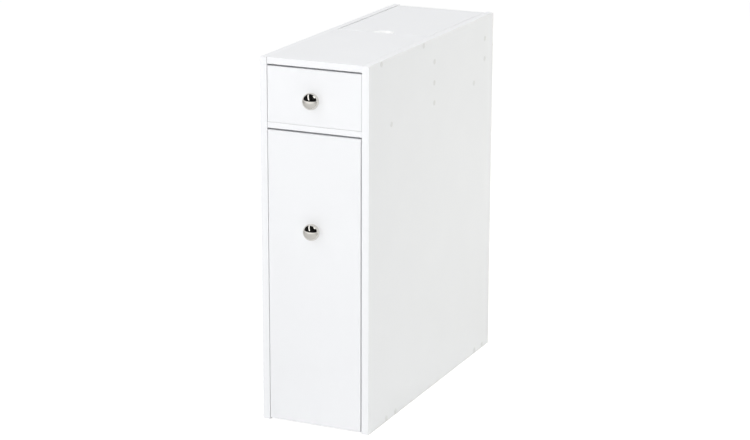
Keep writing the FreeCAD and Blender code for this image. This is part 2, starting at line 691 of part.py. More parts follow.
def drawer_member(unit, side):
    """The angle under the drawer side, with a flange that runs over the front roller."""
    start = front_y + S.slide_start
    body = new_body(f"{unit.name}_member_{side}", (left_in, start, unit.base))
    high_z = unit.base + S.slide_high
    flange_z = high_z - S.steel
    low_z = unit.base + S.slide_low
    foot_z = low_z + S.steel
    edge = runner_x(side, S.slide_reach)
    face = runner_x(side, S.runner_space)
    web = runner_x(side, S.runner_space - S.steel)
    foot = runner_x(side, S.runner_space + S.slide_foot)
    points = [(edge, high_z), (face, high_z), (face, foot_z), (foot, foot_z)]
    points += [(foot, low_z), (web, low_z), (web, flange_z), (edge, flange_z)]
    section(body, points, start, unit.runner)
    return body


def turned(label, centre_y, centre_z, outlines):
    """Turn outlines about a line across the cabinet: each point is a place across and a radius."""
    body = new_body(label, (left_in, centre_y, centre_z))
    sketch = sketch_across(body, "y", centre_y)
    for points in outlines:
        draw_outline(sketch, [(across - left_in, radius) for across, radius in points])
    feature = body.newObject("PartDesign::Revolution", f"{label}_turn")
    feature.Profile = sketch
    feature.ReferenceAxis = (sketch, ["H_Axis"])
    doc.recompute()


def roller_outline(side, off):
    """Half the section of a roller with bevelled edges."""
    low = runner_x(side, off)
    low_bevel = runner_x(side, off + S.roller_bevel)
    high = runner_x(side, off + S.roller_width)
    high_bevel = runner_x(side, off + S.roller_width - S.roller_bevel)
    bore = wide(S.roller_pin) / 2
    tread = S.roller / 2
    shoulder = tread - S.roller_bevel
    points = [(low, bore), (low, shoulder), (low_bevel, tread)]
    return points + [(high_bevel, tread), (high, shoulder), (high, bore)]


def pin_outline(side, root, collar, shoulder, head):
    """Half the section of a headed pin with a collar beside the sheet it is riveted in."""
    thin = S.roller_pin / 2
    thick = S.pin_head / 2
    stations = [(root, ZERO), (root, thin), (collar, thin), (collar, thick), (shoulder, thick)]
    end = head + S.pin_head_thick if head.value > root.value else head - S.pin_head_thick
    stations += [(shoulder, thin), (head, thin), (head, thick), (end, thick), (end, ZERO)]
    return [(runner_x(side, reach), radius) for reach, radius in stations]


def rollers(unit):
    """The front rollers on the carcass and the rear rollers on the drawer, with their pins."""
    front_at = front_y + S.runner_start + S.front_roller_inset
    rear_at = front_y + S.slide_start + unit.runner - S.rear_roller_inset
    level = unit.base + S.roller_rise
    sides = ("left", "right")
    front_end = S.front_roller_off + S.roller_width + S.pin_play
    front_pin = (ZERO, S.steel, S.front_roller_off - S.pin_play, front_end)
    rear_end = S.rear_roller_off + S.roller_width + S.pin_play
    rear_head = S.rear_roller_off - S.pin_play
    rear_pin = (S.runner_space, S.runner_space - S.steel, rear_end, rear_head)
    turned(f"{unit.set}_front_rollers", front_at, level, [roller_outline(s, S.front_roller_off) for s in sides])
    turned(f"{unit.set}_rear_rollers", rear_at, level, [roller_outline(s, S.rear_roller_off) for s in sides])
    turned(f"{unit.set}_front_pins", front_at, level, [pin_outline(s, *front_pin) for s in sides])
    turned(f"{unit.set}_rear_pins", rear_at, level, [pin_outline(s, *rear_pin) for s in sides])
    for side, way in (("left", 1), ("right", -1)):
        hole = wide(S.roller_pin)
        drill(unit.runners[side], "x", runner_x(side, ZERO), way, [(front_at, level)], hole, S.steel)
        web = runner_x(side, S.runner_space)
        drill(unit.members[side], "x", web, -way, [(rear_at, level)], hole, S.steel)


def runner_fixings(unit, fixed):
    """Screws from each runner member into the wood beside it."""
    level = unit.base + S.roller_rise
    fixed_y = front_y + S.runner_start
    moving_y = front_y + S.slide_start
    spots = (S.runner_screw_inset, unit.runner / 2, unit.runner - S.runner_screw_inset)
    moving = new_body(f"{unit.name}_member_screws", (left_in, front_y, unit.base))
    steps = [(-S.small_head_thick, S.small_head_thick, S.small_head)]
    steps.append((ZERO, S.steel + S.small_reach, S.small_shank))
    hole = wide(S.small_shank)
    depth = S.small_reach + S.pilot_extra
    panels = {"left": left_panel, "right": right_panel}
    boxes = {"left": unit.left, "right": unit.right}
    for side, way in (("left", 1), ("right", -1)):
        places = [(fixed_y + spot, level) for spot in spots]
        web = runner_x(side, S.steel)
        drill(unit.runners[side], "x", web, -way, places, hole, S.steel)
        drill(panels[side], "x", runner_x(side, ZERO), -way, places, hole, depth)
        rods(fixed, "x", web, -way, places, steps)
        places = [(moving_y + spot, level) for spot in spots]
        web = runner_x(side, S.runner_space - S.steel)
        drill(unit.members[side], "x", web, way, places, hole, S.steel)
        drill(boxes[side], "x", runner_x(side, S.runner_space), way, places, hole, depth)
        rods(moving, "x", web, way, places, steps)


fixed_screws = new_body("runner_screws", (left_in, front_y, ZERO))
for unit in (upper, lower):
    unit.runners = {side: cabinet_runner(unit, side) for side in ("left", "right")}
    unit.members = {side: drawer_member(unit, side) for side in ("left", "right")}
    rollers(unit)
    runner_fixings(unit, fixed_screws)


def draw_knob(sketch):
    """Half the section of a slightly flat ball on a short collar, with a thread up its middle."""
    middle = (S.knob_ball / 2 - S.knob_rim, S.knob_half)
    collar = S.knob_collar / 2
    thread = wide(S.knob_screw) / 2
    across, along, rim = middle[0].value, middle[1].value, S.knob_rim.value
    crown = (across ** 2 + along ** 2 - rim ** 2) / (2 * (along - rim))
    lean = math.atan2(along - crown, across)
    turn = math.acos((collar.value - across) / rim)
    flat = Part.Circle(FreeCAD.Vector(0, crown, 0), FreeCAD.Vector(0, 0, 1), crown)
    front = sketch.addGeometry(Part.ArcOfCircle(flat, -math.pi / 2, lean), False)
    tight = Part.Circle(FreeCAD.Vector(across, along, 0), FreeCAD.Vector(0, 0, 1), rim)
    side = sketch.addGeometry(Part.ArcOfCircle(tight, lean, turn), False)
    pin(sketch, front, 1, (ZERO, ZERO))
    sketch.addConstraint(Sketcher.Constraint("PointOnObject", front, 3, -2))
    pin(sketch, side, 3, middle)
    bind(sketch, Sketcher.Constraint("Radius", side, rim), S.knob_rim)
    sketch.addConstraint(Sketcher.Constraint("Tangent", front, 2, side, 1))
    floor = S.knob_reach - S.knob_bore_depth
    shoulder = FreeCAD.Vector(collar.value, along + rim * math.sin(turn), 0)
    corner_sizes = [(collar, S.knob_reach), (thread, S.knob_reach), (thread, floor), (ZERO, floor)]
    spots = [shoulder] + [FreeCAD.Vector(a.value, b.value, 0) for a, b in corner_sizes]
    spots.append(FreeCAD.Vector(0, 0, 0))
    last = side
    for here, there, size in zip(spots, spots[1:], corner_sizes + [None]):
        line = sketch.addGeometry(Part.LineSegment(here, there), False)
        sketch.addConstraint(Sketcher.Constraint("Coincident", last, 2, line, 1))
        if size:
            pin(sketch, line, 2, size)
        last = line
    sketch.addConstraint(Sketcher.Constraint("Coincident", last, 2, front, 1))
    sketch.addConstraint(Sketcher.Constraint("Vertical", side + 1))


def knob(unit):
    """The knob on one front and the screw that holds it from behind."""
    tip = front_y - S.knob_reach
    body = new_body(f"{unit.set}_knob", (ZERO, tip, unit.knob_z))
    sketch = sketch_across(body, "z", unit.knob_z)
    draw_knob(sketch)
    feature = body.newObject("PartDesign::Revolution", f"{unit.set}_knob_turn")
    feature.Profile = sketch
    feature.ReferenceAxis = (sketch, ["V_Axis"])
    doc.recompute()
    place = [(ZERO, unit.knob_z)]
    hole = wide(S.knob_screw)
    drill(unit.front, "y", box_front_y, -1, place, hole, S.board + S.overrun)
    screw = new_body(f"{unit.set}_knob_screw", (ZERO, box_front_y, unit.knob_z))
    steps = [(-S.knob_screw_head_thick, S.knob_screw_head_thick, S.knob_screw_head)]
    steps.append((ZERO, S.board + S.knob_screw_in_knob, S.knob_screw))
    rods(screw, "y", box_front_y, -1, place, steps)


for unit in (upper, lower):
    knob(unit)

# Every piece is checked and written under its own name.
doc.recompute()
os.makedirs("parts", exist_ok=True)
for item in doc.Objects:
    if "Invalid" in item.State or "Error" in item.State:
        raise RuntimeError(f"{item.Label} did not build")
for label, body in bodies.items():
    if body.Shape.isNull() or not body.Shape.isValid():
        raise RuntimeError(f"{label} has no sound shape")
    body.Shape.exportStep(f"parts/{label}.step")
    print(label, body.Shape.ShapeType, len(body.Shape.Solids), round(body.Shape.Volume))
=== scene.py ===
# %% [markdown]
# # A narrow bathroom cabinet on white
# The boards, runners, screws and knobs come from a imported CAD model, already in place and in metres. This
# lesson gives every one of them a finish, swaps a few small round pieces for smoother surfaces worked out
# with numpy, and lights the cabinet the way a catalogue does. Nothing that came from CAD is moved.

# %% Load the frame
import math

import bpy
import numpy as np
from mathutils import Matrix, Vector


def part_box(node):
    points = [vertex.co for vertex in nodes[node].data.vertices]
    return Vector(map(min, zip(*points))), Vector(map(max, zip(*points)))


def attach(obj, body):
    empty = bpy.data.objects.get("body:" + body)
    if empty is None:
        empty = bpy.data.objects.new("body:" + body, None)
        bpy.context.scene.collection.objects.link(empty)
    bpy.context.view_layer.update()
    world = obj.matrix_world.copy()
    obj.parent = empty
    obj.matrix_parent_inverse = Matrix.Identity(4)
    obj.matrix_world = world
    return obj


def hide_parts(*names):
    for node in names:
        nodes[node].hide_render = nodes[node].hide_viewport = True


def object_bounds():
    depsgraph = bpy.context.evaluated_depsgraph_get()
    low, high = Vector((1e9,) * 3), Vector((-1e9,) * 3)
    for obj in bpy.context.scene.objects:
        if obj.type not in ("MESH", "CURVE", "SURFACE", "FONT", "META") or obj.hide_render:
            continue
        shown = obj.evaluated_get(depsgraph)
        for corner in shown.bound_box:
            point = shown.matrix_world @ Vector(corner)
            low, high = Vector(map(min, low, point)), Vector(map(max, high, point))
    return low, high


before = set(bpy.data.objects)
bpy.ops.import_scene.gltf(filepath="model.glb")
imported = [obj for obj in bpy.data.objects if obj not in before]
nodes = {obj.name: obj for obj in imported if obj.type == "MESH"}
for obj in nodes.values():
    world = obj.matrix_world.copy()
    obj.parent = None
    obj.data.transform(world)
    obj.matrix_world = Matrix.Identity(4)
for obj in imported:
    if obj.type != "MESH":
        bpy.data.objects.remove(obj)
cad_low, cad_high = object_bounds()
MM = 0.001
print("nodes:", len(nodes), "box in mm:", [round(side / MM, 1) for side in cad_high - cad_low])

# %% [markdown]
# ## The camera
# The picture was taken from the right, a little above the top, through a long lens. A camera is put where
# straight lines through the corners of the cabinet meet, and turned by three plain angles: yaw about the
# vertical, pitch downwards, and a trace of roll. The lens is left unshifted, so other views stay centred.

# %% Place the camera
CAMERA_PLACE = (1.4714, -3.2398, 1.2648)
CAMERA_YAW = math.radians(24.523)
CAMERA_PITCH = math.radians(15.548)
CAMERA_ROLL = math.radians(0.16)
LENS_MM = 109.6
SENSOR_MM = 36.0

camera = bpy.data.objects.new("camera", bpy.data.cameras.new("camera"))
camera.data.lens = LENS_MM
camera.data.sensor_width = SENSOR_MM
yaw = Matrix.Rotation(CAMERA_YAW, 4, "Z")
pitch = Matrix.Rotation(math.pi / 2 - CAMERA_PITCH, 4, "X")
roll = Matrix.Rotation(CAMERA_ROLL, 4, "Z")
camera.matrix_world = Matrix.Translation(CAMERA_PLACE) @ (yaw @ pitch @ roll)
bpy.context.scene.collection.objects.link(camera)
bpy.context.scene.camera = camera
bpy.context.scene.view_settings.view_transform = "Standard"
print("camera to cabinet, m:", round((Vector(CAMERA_PLACE) - (cad_low + cad_high) / 2).length, 3))

# %% [markdown]
# ## Small helpers for materials
# Colours are easier to read as the hex values of a paint chart, but shaders work in linear light, so one
# function converts them. A second adds a node and joins it up in one call. A third opens a new material and
# hands back what every recipe needs: its nodes, its shader and the place of the point being shaded. The last
# two turn a size in millimetres into the scale of a pattern, and give one material to several CAD nodes.

# %% Helpers for materials
# A mix node has sockets of its own for every kind of value. These are the places of the two colours and of
# their mixture.
MIX_A = 6
MIX_B = 7
MIX_OUT = 2


def linear(hex_colour):
    """sRGB hex to linear RGBA: c / 12.92 for dark channels, ((c + 0.055) / 1.055) ^ 2.4 for the others."""
    raw = np.array([int(hex_colour[i:i + 2], 16) for i in (1, 3, 5)]) / 255
    bright = ((raw + 0.055) / 1.055) ** 2.4
    return (*np.where(raw <= 0.04045, raw / 12.92, bright).tolist(), 1.0)


def node(tree, kind, inputs, **settings):
    """Adds one node with its settings. Each input is a plain value or the output that feeds it."""
    made = tree.nodes.new(kind)
    for name, value in settings.items():
        setattr(made, name, value)
    for name, value in inputs.items():
        if isinstance(value, bpy.types.NodeSocket):
            tree.links.new(value, made.inputs[name])
        else:
            made.inputs[name].default_value = value
    return made


def new_material(name, sockets):
    """Opens a material with plain values on its shader's sockets, and hands over its parts."""
    material = bpy.data.materials.new(name)
    material.use_nodes = True
    tree = material.node_tree
    shader = tree.nodes["Principled BSDF"]
    for socket, value in sockets.items():
        shader.inputs[socket].default_value = value
    place = node(tree, "ShaderNodeTexCoord", {}).outputs["Object"]
    return material, tree, shader, place


def per_size(millimetres):
    """The scale of a noise or cell pattern whose features are that many millimetres across."""
    return 1 / (millimetres * MM)


def dress(names, material):
    """Gives one material to several CAD nodes."""
    for name in names:
        nodes[name].material_slots[0].material = material


print("middle grey in linear light:", round(linear("#808080")[0], 3))

# %% [markdown]
# ## Bare chipboard
# Every board is chipboard: wood chips pressed with glue, coarse in the middle and fine outside. It shows
# only on cut edges that nobody sees from the front, such as rear edges and the edges on the floor. Cells of
# one size make the chips, and each cell takes its own shade of tan. A finer noise adds the dust between them,
# so no picture file is needed.

# %% Chipboard colour
CHIP_MM = 2.6
DUST_MM = 0.7
DUST_DETAIL = 3.0
CHIP_DARK = "#8C6A45"
CHIP_PALE = "#D9BE94"


def chipboard_colour(tree, place):
    """Tan chips: the random shade of each cell times a fine noise picks a colour between dark and pale."""
    chips = node(tree, "ShaderNodeTexVoronoi", {"Vector": place, "Scale": per_size(CHIP_MM)})
    fine = {"Vector": place, "Scale": per_size(DUST_MM), "Detail": DUST_DETAIL}
    dust = node(tree, "ShaderNodeTexNoise", fine).outputs["Fac"]
    shade = node(tree, "ShaderNodeSeparateColor", {"Color": chips.outputs["Color"]}).outputs["Red"]
    both = node(tree, "ShaderNodeMath", {0: shade, 1: dust}, operation="MULTIPLY").outputs[0]
    tans = {0: both, MIX_A: linear(CHIP_DARK), MIX_B: linear(CHIP_PALE)}
    return node(tree, "ShaderNodeMix", tans, data_type="RGBA").outputs[MIX_OUT]


print("chips of", CHIP_MM, "mm with dust of", DUST_MM, "mm")

# %% [markdown]
# ## Places on a board
# One recipe dresses every board, so it has to tell faces, banded edges and cut edges apart. Boards lie square
# to the axes, so a place on a board is found by comparing one coordinate with a level that its box gives.
# Each test below is 1 inside its place and 0 elsewhere, and the largest of several tests joins their places.

# %% Tests for sides, glue lines and painted shade in joints
BAND_MM = 0.75
GLUE_LINE_MM = 0.14
SEAM_SHADE_MM = 0.5
AXES = "XYZ"


def level_behind(piece, side, inset):
    """Axis of one side of a board, such as y+ for its rear, and the level that lies an inset behind it."""
    low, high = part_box(piece)
    axis = side[0].upper()
    if side[1] == "+":
        return axis, high[AXES.index(axis)] - inset
    return axis, low[AXES.index(axis)] + inset


def beyond(tree, parts, piece, side, inset):
    """1 where the point lies within an inset of one side of a board."""
    axis, level = level_behind(piece, side, inset)
    test = "GREATER_THAN" if side[1] == "+" else "LESS_THAN"
    return node(tree, "ShaderNodeMath", {0: parts[axis], 1: level}, operation=test).outputs[0]


def glue_line(tree, parts, piece, side):
    """1 in a hair line that runs one band thickness behind a banded edge."""
    axis, level = level_behind(piece, side, BAND_MM * MM)
    line = {0: parts[axis], 1: level, 2: GLUE_LINE_MM * MM}
    return node(tree, "ShaderNodeMath", line, operation="COMPARE").outputs[0]


def left_seam_shade(tree, parts, piece):
    """1 in a hair of painted shade at the left end of a board's front edge, where it butts against the side
    panel.
    """
    end = beyond(tree, parts, piece, "x-", SEAM_SHADE_MM * MM)
    front = beyond(tree, parts, piece, "y-", BAND_MM * MM)
    return node(tree, "ShaderNodeMath", {0: end, 1: front}, operation="MULTIPLY").outputs[0]


def either(tree, shares):
    """The largest of several shares, point by point."""
    total = shares[0]
    for share in shares[1:]:
        total = node(tree, "ShaderNodeMath", {0: total, 1: share}, operation="MAXIMUM").outputs[0]
    return total


print("bands of", BAND_MM, "mm with glue lines at level", level_behind("fixed_top_panel", "y-", BAND_MM * MM))

# %% [markdown]
# ## White melamine on chipboard
# The white skin is paper soaked in melamine resin, pressed hot against a steel plate with a fine pearl grain.
# To the eye it is a clean cool white with a soft, slightly uneven gloss. The grain is far too fine for a
# whole view of the cabinet, so it is drawn a little coarser than life. Front edges carry a strip of plastic
# under a millimetre thick, a touch whiter than the boards. Its glue line is a hair of grey just behind the
# arris. Where the front edge of the top or the shelf butts against the left panel, the hair of shadow
# between the boards is painted shade: a grey line painted into the colour.

# %% White melamine
MOTTLE_MM = 85.0
MOTTLE_DETAIL = 2.0
PEARL_MM = 1.1
PEARL_DETAIL = 1.0
PEARL_ROUGH = (0.36, 0.5)
PEARL_BUMP = 0.12
PEARL_DEPTH_MM = 0.03
CUT_MM = 0.25
GLUE_SHARE = 0.3
MELAMINE_WHITES = ("#EEEFF1", "#F1F2F4")
BAND_WHITE = "#F2F3F5"
GLUE_GREY = "#B9B6AE"
SEAM_SHADE_GREY = "#7A7A7C"
# The boards that get a painted grey hair of shade at the left end of their front edge, where they butt.
BUTTED = ("fixed_top_panel", "middle_shelf")


def melamine(piece, banded, bare):
    """White faced chipboard for one board: banded sides get a glue line and bare sides show their chips."""
    material, tree, shader, place = new_material(f"white_melamine_chipboard.{piece}", {})
    parts = node(tree, "ShaderNodeSeparateXYZ", {"Vector": place}).outputs
    clouds = {"Vector": place, "Scale": per_size(MOTTLE_MM), "Detail": MOTTLE_DETAIL}
    mottle = node(tree, "ShaderNodeTexNoise", clouds).outputs["Fac"]
    fine = {"Vector": place, "Scale": per_size(PEARL_MM), "Detail": PEARL_DETAIL}
    pearl = node(tree, "ShaderNodeTexNoise", fine).outputs["Fac"]
    whites = {0: mottle, MIX_A: linear(MELAMINE_WHITES[0]), MIX_B: linear(MELAMINE_WHITES[1])}
    colour = node(tree, "ShaderNodeMix", whites, data_type="RGBA").outputs[MIX_OUT]
    gloss = {"Value": pearl, "To Min": PEARL_ROUGH[0], "To Max": PEARL_ROUGH[1]}
    rough = node(tree, "ShaderNodeMapRange", gloss).outputs["Result"]
    if banded:
        strip = either(tree, [beyond(tree, parts, piece, side, BAND_MM * MM) for side in banded])
        bands = {0: strip, MIX_A: colour, MIX_B: linear(BAND_WHITE)}
        colour = node(tree, "ShaderNodeMix", bands, data_type="RGBA").outputs[MIX_OUT]
        line = either(tree, [glue_line(tree, parts, piece, side) for side in banded])
        faint = node(tree, "ShaderNodeMath", {0: line, 1: GLUE_SHARE}, operation="MULTIPLY").outputs[0]
        glue = {0: faint, MIX_A: colour, MIX_B: linear(GLUE_GREY)}
        colour = node(tree, "ShaderNodeMix", glue, data_type="RGBA").outputs[MIX_OUT]
    # Painted shade: a grey hair in the colour stands in for the shadow in the joint with the left panel.
    if piece in BUTTED:
        seam_shade_mix = {0: left_seam_shade(tree, parts, piece), MIX_A: colour, MIX_B: linear(SEAM_SHADE_GREY)}
        colour = node(tree, "ShaderNodeMix", seam_shade_mix, data_type="RGBA").outputs[MIX_OUT]
    if bare:
        cut = either(tree, [beyond(tree, parts, piece, side, CUT_MM * MM) for side in bare])
        core = {0: cut, MIX_A: colour, MIX_B: chipboard_colour(tree, place)}
        colour = node(tree, "ShaderNodeMix", core, data_type="RGBA").outputs[MIX_OUT]
        rough = node(tree, "ShaderNodeMath", {0: rough, 1: cut}, operation="MAXIMUM").outputs[0]
    grain = {"Height": pearl, "Strength": PEARL_BUMP, "Distance": PEARL_DEPTH_MM * MM}
    tree.links.new(colour, shader.inputs["Base Color"])
    tree.links.new(rough, shader.inputs["Roughness"])
    tree.links.new(node(tree, "ShaderNodeBump", grain).outputs["Normal"], shader.inputs["Normal"])
    return material


print("pearl grain of", PEARL_MM, "mm over clouds of", MOTTLE_MM, "mm")

# %% Dress the boards
# Each board, its sides with a plastic band, and its bare cut sides.
BOARDS = {
    "left_side_panel": (("y-", "z+"), ("y+", "z-")),
    "right_side_panel": (("y-", "z+"), ("y+", "z-")),
    "fixed_top_panel": (("y-",), ()),
    "middle_shelf": (("y-",), ("y+",)),
    "bottom_panel": (("y-",), ("y+",)),
    "divider_panel": ((), ()),
    "lid_box_rear_panel": ((), ()),
    "lid_panel": (("x-", "x+", "y-", "y+"), ()),
    "upper_drawer_front": (("x-", "x+", "z-", "z+"), ()),
    "upper_drawer_left_side": (("z+",), ("y+", "z-")),
    "upper_drawer_right_side": (("z+",), ("y+", "z-")),
    "upper_drawer_back": (("z+",), ("z-",)),
    "lower_pullout_front": (("x-", "x+", "z-", "z+"), ()),
    "lower_pullout_left_side": (("z+",), ("y+", "z-")),
    "lower_pullout_right_side": (("z+",), ("y+", "z-")),
    "lower_pullout_back": (("z+",), ("z-",)),
    "lower_pullout_tier": ((), ()),
    "lower_pullout_left_guard": (("z+",), ("y+",)),
    "lower_pullout_right_guard": (("z+",), ("y+",)),
}
for piece, (banded, bare) in BOARDS.items():
    dress([piece], melamine(piece, banded, bare))
print("boards:", len(BOARDS))

# %% [markdown]
# ## Lacquer in the finger notch
# The notch is milled through the lid, so its rim and wall are sealed with white lacquer. Lacquer is purer
# white and glossier than melamine, and the notch shows as a bright sliver. The share of lacquer is 1 near the
# middle of the notch and below the upper face of the lid.

# %% White lacquer in the notch
NOTCH_REACH_MM = 19.0
LACQUER_WHITE = "#FAFAFA"
LACQUER_ROUGH = 0.2
# The places of the two plain numbers on a mix node.
NUMBER_A = 2
NUMBER_B = 3

tree = nodes["lid_panel"].material_slots[0].material.node_tree
shader = tree.nodes["Principled BSDF"]
low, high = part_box("lid_panel")
middle = ((low.x + high.x) / 2, low.y, high.z)
place = node(tree, "ShaderNodeTexCoord", {}).outputs["Object"]
parts = node(tree, "ShaderNodeSeparateXYZ", {"Vector": place}).outputs
away = node(tree, "ShaderNodeVectorMath", {0: place, 1: middle}, operation="DISTANCE").outputs["Value"]
near = node(tree, "ShaderNodeMath", {0: away, 1: NOTCH_REACH_MM * MM}, operation="LESS_THAN").outputs[0]
face = beyond(tree, parts, "lid_panel", "z+", CUT_MM * MM)
sealed = node(tree, "ShaderNodeMath", {0: near, 1: face}, operation="SUBTRACT", use_clamp=True).outputs[0]
white = shader.inputs["Base Color"].links[0].from_socket
colours = {0: sealed, MIX_A: white, MIX_B: linear(LACQUER_WHITE)}
colour = node(tree, "ShaderNodeMix", colours, data_type="RGBA").outputs[MIX_OUT]
satin = shader.inputs["Roughness"].links[0].from_socket
glosses = {0: sealed, NUMBER_A: satin, NUMBER_B: LACQUER_ROUGH}
rough = node(tree, "ShaderNodeMix", glosses, data_type="FLOAT").outputs[0]
tree.links.new(colour, shader.inputs["Base Color"])
tree.links.new(rough, shader.inputs["Roughness"])
print("lacquer within", NOTCH_REACH_MM, "mm of the middle of the notch")

# %% [markdown]
# ## Hardboard
# The back and the drawer bottoms are hardboard: wood fibre pressed wet on a wire screen. One face is
# lacquered white and turned to where things are kept. The other stays brown and keeps the print of the
# screen, a small square weave, so two waves at right angles are multiplied into a bump.

# %% Hardboard with one white face
SCREEN_MM = 2.2
SCREEN_BUMP = 0.35
SCREEN_DEPTH_MM = 0.15
FIBRE_MM = 4.0
FIBRE_DETAIL = 6.0
FIBRE_SHINE = 0.3
FIBRE_ROUGH = 0.78
FIBRE_BROWNS = ("#6E4B30", "#A37B52")
PAINT_ROUGH = 0.42
PAINT_WHITE = "#EEEEEE"
WAVE_FACTOR = 20


def wave_scale(millimetres):
    """The scale of a wave pattern with that spacing: one wave is 2 pi / 20 of its own unit."""
    return 2 * math.pi / (WAVE_FACTOR * millimetres * MM)


def hardboard(piece, white_side, weave):
    """Brown pressed fibre with a screen print, and white lacquer over the half nearest one side."""
    name = f"screen_back_hardboard.{piece}"
    material, tree, shader, place = new_material(name, {"Specular IOR Level": FIBRE_SHINE})
    parts = node(tree, "ShaderNodeSeparateXYZ", {"Vector": place}).outputs
    low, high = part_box(piece)
    white = beyond(tree, parts, piece, white_side, min(high - low) / 2)
    felt = {"Vector": place, "Scale": per_size(FIBRE_MM), "Detail": FIBRE_DETAIL}
    fibre = node(tree, "ShaderNodeTexNoise", felt).outputs["Fac"]
    browns = {0: fibre, MIX_A: linear(FIBRE_BROWNS[0]), MIX_B: linear(FIBRE_BROWNS[1])}
    brown = node(tree, "ShaderNodeMix", browns, data_type="RGBA").outputs[MIX_OUT]
    both = {0: white, MIX_A: brown, MIX_B: linear(PAINT_WHITE)}
    colour = node(tree, "ShaderNodeMix", both, data_type="RGBA").outputs[MIX_OUT]
    wires = {"Vector": place, "Scale": wave_scale(SCREEN_MM)}
    threads = [node(tree, "ShaderNodeTexWave", wires, bands_direction=way).outputs["Fac"] for way in weave]
    screen = node(tree, "ShaderNodeMath", {0: threads[0], 1: threads[1]}, operation="MULTIPLY").outputs[0]
    fade = {"Value": white, "To Min": SCREEN_BUMP, "To Max": 0.0}
    soft = node(tree, "ShaderNodeMapRange", fade).outputs["Result"]
    relief = {"Height": screen, "Strength": soft, "Distance": SCREEN_DEPTH_MM * MM}
    press = node(tree, "ShaderNodeBump", relief)
    gloss = {"Value": white, "To Min": FIBRE_ROUGH, "To Max": PAINT_ROUGH}
    rough = node(tree, "ShaderNodeMapRange", gloss).outputs["Result"]
    tree.links.new(colour, shader.inputs["Base Color"])
    tree.links.new(rough, shader.inputs["Roughness"])
    tree.links.new(press.outputs["Normal"], shader.inputs["Normal"])
    return material


dress(["back_board"], hardboard("back_board", "y-", "XZ"))
for piece in ("upper_drawer_bottom", "lower_pullout_bottom"):
    dress([piece], hardboard(piece, "z+", "XY"))
print("screen print every", SCREEN_MM, "mm")

# %% [markdown]
# ## Metals and plastics
# Chrome on the knobs is a near mirror: its grey comes from what it reflects, so its own colour is the share
# of light that chromium sends back. Zinc plate on the screws is duller and a little blue or straw from its
# passivation. The runners wear white powder coat with a faint orange peel, the rollers are natural nylon, the
# caps moulded plastic and the cams die cast zinc. One recipe serves them all.

# %% Plain recipes that share one pattern
SPECKLE_DETAIL = 3.0
SPECKLE_BUMP = 0.4


def speckled(name, size, tones, gloss, height, sockets):
    """A finish with one noise pattern, which picks the tone, the roughness and a bump of a given height."""
    material, tree, shader, place = new_material(name, sockets)
    speckles = {"Vector": place, "Scale": per_size(size), "Detail": SPECKLE_DETAIL}
    share = node(tree, "ShaderNodeTexNoise", speckles).outputs["Fac"]
    colours = {0: share, MIX_A: linear(tones[0]), MIX_B: linear(tones[1])}
    colour = node(tree, "ShaderNodeMix", colours, data_type="RGBA").outputs[MIX_OUT]
    spread = {"Value": share, "To Min": gloss[0], "To Max": gloss[1]}
    rough = node(tree, "ShaderNodeMapRange", spread).outputs["Result"]
    bump = node(tree, "ShaderNodeBump", {"Height": share, "Strength": SPECKLE_BUMP, "Distance": height * MM})
    tree.links.new(colour, shader.inputs["Base Color"])
    tree.links.new(rough, shader.inputs["Roughness"])
    tree.links.new(bump.outputs["Normal"], shader.inputs["Normal"])
    return material


# Name, size of the speckles in mm, two tones, range of roughness, height of the bump in mm, plain values.
METAL = {"Metallic": 1.0}
MILKY = {"Subsurface Weight": 0.1}
chrome = speckled("polished_chrome_plate", 9.0, ("#D8D5CF", "#DDDAD4"), (0.03, 0.06), 0.0005, METAL)
zinc_plate = speckled("bright_zinc_plated_steel", 3.0, ("#B9BEC4", "#CBC8BA"), (0.24, 0.36), 0.004, METAL)
die_cast = speckled("die_cast_zinc", 0.8, ("#9B9DA0", "#B0B1B3"), (0.42, 0.6), 0.02, METAL)
powder = speckled("white_powder_coated_steel", 1.4, ("#EBEBE8", "#F1F1EF"), (0.3, 0.4), 0.03, {})
nylon = speckled("moulded_nylon", 2.0, ("#E4E0D4", "#EEEBE2"), (0.35, 0.5), 0.01, MILKY)
cap_plastic = speckled("moulded_white_polystyrene", 2.5, ("#E0E1E1", "#E5E6E6"), (0.28, 0.36), 0.005, {})

runners = [name for name in nodes if "_runner_" in name]
members = [name for name in nodes if name.endswith(("_member_left", "_member_right"))]
dress(runners + members, powder)
dress([name for name in nodes if name.endswith("_rollers")] + ["lid_pivot_bushes"], nylon)
dress([name for name in nodes if name.endswith("_cams")], die_cast)
dress(["upper_knob", "lower_knob"], chrome)
dress(["screw_caps"], cap_plastic)
steel_ends = ("_screws", "_screw", "_pins", "_bolts")
dress([name for name in nodes if name.endswith(steel_ends)], zinc_plate)
print("runner pieces:", len(runners + members))

# %% [markdown]
# ## Beech dowels
# Dowels are cut from beech along the grain, here along the depth of the cabinet. Stretching a noise pattern
# along that line gives the grain, and short dark flecks are what makes beech look like beech.

# %% Beech
GRAIN_MM = (0.5, 9.0, 0.5)
GRAIN_DETAIL = 4.0
BEECH_ROUGH = 0.62
BEECH_TONES = ("#B98A5C", "#E2C49B")

material, tree, shader, place = new_material("cut_beech", {"Roughness": BEECH_ROUGH})
stretch = node(tree, "ShaderNodeMapping", {"Vector": place, "Scale": [per_size(size) for size in GRAIN_MM]})
fibres = {"Vector": stretch.outputs["Vector"], "Scale": 1.0, "Detail": GRAIN_DETAIL}
grain = node(tree, "ShaderNodeTexNoise", fibres).outputs["Fac"]
tones = {0: grain, MIX_A: linear(BEECH_TONES[0]), MIX_B: linear(BEECH_TONES[1])}
tone = node(tree, "ShaderNodeMix", tones, data_type="RGBA").outputs[MIX_OUT]
tree.links.new(tone, shader.inputs["Base Color"])
dress([name for name in nodes if name.endswith("_dowels")], material)
print("grain in mm:", GRAIN_MM)

